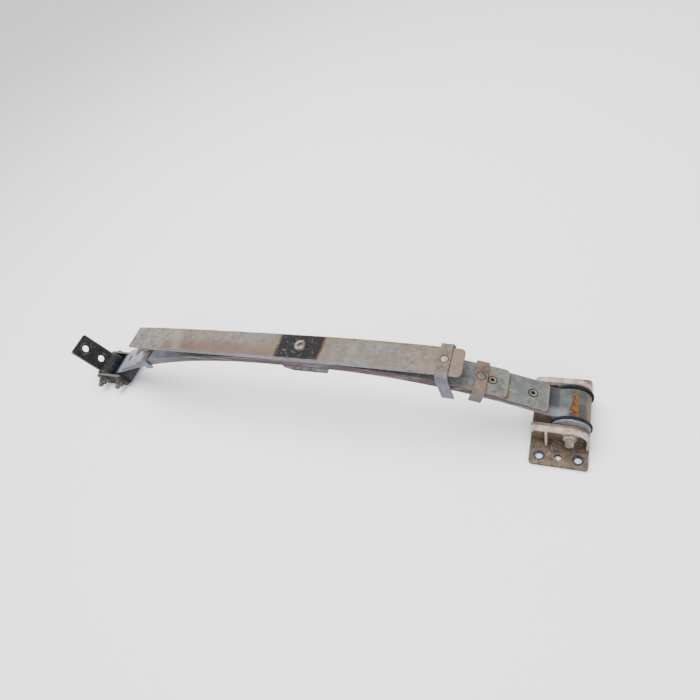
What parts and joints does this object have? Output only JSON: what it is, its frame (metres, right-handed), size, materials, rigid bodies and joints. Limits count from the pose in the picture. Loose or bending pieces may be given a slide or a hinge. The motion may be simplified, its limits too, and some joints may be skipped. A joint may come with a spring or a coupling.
{
  "type": "leaf spring",
  "caption": "Semi-elliptic multi-leaf vehicle spring pack with a bolted front hanger, and a swinging rear shackle with its strap bracket.",
  "frame": {"origin": "on the centre bolt's axis, at the flat seat of the overload leaf, under the bolt's head", "axes": "+Z out of the axle side of the pack along the centre bolt, +X along the leaves to the front hanger, +Y across the leaves"},
  "size_m": [1.2465, 0.19, 0.1976],
  "materials": {
    "leaf_grey": "grey scale with thin brown rust",
    "leaf_steel": "worn grey-green scale with rust along the edges",
    "pad_steel": "dark greasy steel",
    "bolt_steel": "dull zinc",
    "nut_steel": "dull zinc with brown rust",
    "liner": "dirty tan plastic",
    "clip_steel": "weathered grey-brown",
    "rivet_steel": "worn bright",
    "sleeve_steel": "bare steel",
    "rubber": "weathered black",
    "cup_steel": "light worn steel",
    "bracket_steel": "brown-grey dirt over black paint",
    "shackle_paint": "worn charcoal paint"
  },
  "bodies": {
    "spring_pack": {"overload_leaf": "leaf_grey", "third_leaf": "leaf_steel", "second_leaf": "leaf_steel", "main_leaf": "leaf_steel", "spacer_plate": "pad_steel", "centre_bolt": "bolt_steel", "centre_nut": "nut_steel", "third_leaf_front_liner": "liner", "third_leaf_rear_liner": "liner", "second_leaf_front_liner": "liner", "second_leaf_rear_liner": "liner", "overload_clip": "clip_steel", "overload_clip_rivet": "rivet_steel", "third_leaf_front_clip": "clip_steel", "third_leaf_front_clip_rivet": "rivet_steel", "third_leaf_rear_clip": "clip_steel", "third_leaf_rear_clip_rivet": "rivet_steel", "front_bush_outer_sleeve": "sleeve_steel", "front_bush_rubber": "rubber", "rear_eye_rubbers": "rubber"},
    "front_hanger": {"hanger_base_plate": "bracket_steel", "hanger_near_ear": "bracket_steel", "hanger_far_ear": "bracket_steel", "front_bush_inner_sleeve": "sleeve_steel", "front_bush_cups": "cup_steel", "front_bolt": "bolt_steel", "front_nut": "nut_steel"},
    "shackle": {"shackle_near_plate": "shackle_paint", "shackle_far_plate": "shackle_paint", "rear_eye_inner_sleeve": "sleeve_steel", "bracket_eye_inner_sleeve": "sleeve_steel", "rear_eye_bolt": "bolt_steel", "rear_eye_nut": "nut_steel", "bracket_eye_bolt": "bolt_steel", "bracket_eye_nut": "nut_steel"},
    "rear_bracket": {"rear_bracket": "shackle_paint", "bracket_eye_rubbers": "rubber"}
  },
  "joints": [
    {"name": "front_eye_pivot", "type": "hinge", "parent": "spring_pack", "child": "front_hanger", "pos_m": [0.5061, 0, -0.1464], "axis": [0, 1, 0], "range_deg": [-60, 45]},
    {"name": "rear_eye_pivot", "type": "hinge", "parent": "spring_pack", "child": "shackle", "pos_m": [-0.60663, 0, -0.16661], "axis": [0, 1, 0], "range_deg": [-100, 30]},
    {"name": "bracket_eye_pivot", "type": "hinge", "parent": "shackle", "child": "rear_bracket", "pos_m": [-0.66863, 0, -0.16661], "axis": [0, 1, 0], "range_deg": [-95, 30]}
  ]
}
